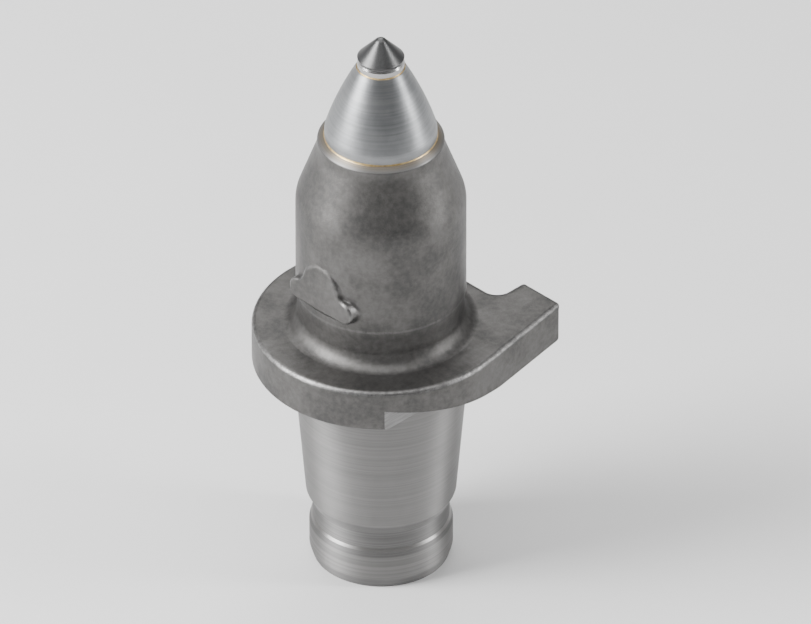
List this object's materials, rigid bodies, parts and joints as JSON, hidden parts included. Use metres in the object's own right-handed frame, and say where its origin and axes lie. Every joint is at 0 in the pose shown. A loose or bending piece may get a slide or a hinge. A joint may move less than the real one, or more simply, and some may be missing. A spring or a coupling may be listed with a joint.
{
  "type": "milling bit",
  "caption": "Milling bit with a tapered, grooved shank, a flange with an arm, notch and pad, a conical steel body, a carbide bolster and a pointed diamond tip.",
  "frame": {"origin": "on the tool's axis, in the plane of the flange's underside, which seats on the tool holder", "axes": "+Z along the tool's axis towards the diamond tip, +X along the flange's arm"},
  "size_m": [0.0693, 0.0648, 0.1555],
  "materials": {
    "forged_steel": "forged and turned, hardened",
    "bolster_carbide": "sintered and ground, matte",
    "tip_carbide": "ground bright",
    "diamond": "lapped, semi-gloss",
    "braze": "as brazed"
  },
  "bodies": {
    "root": {"tool_body": "forged_steel", "bolster_braze": "braze", "carbide_bolster": "bolster_carbide", "tip_braze": "braze", "tip_substrate": "tip_carbide", "diamond_cap": "diamond"}
  },
  "joints": []
}
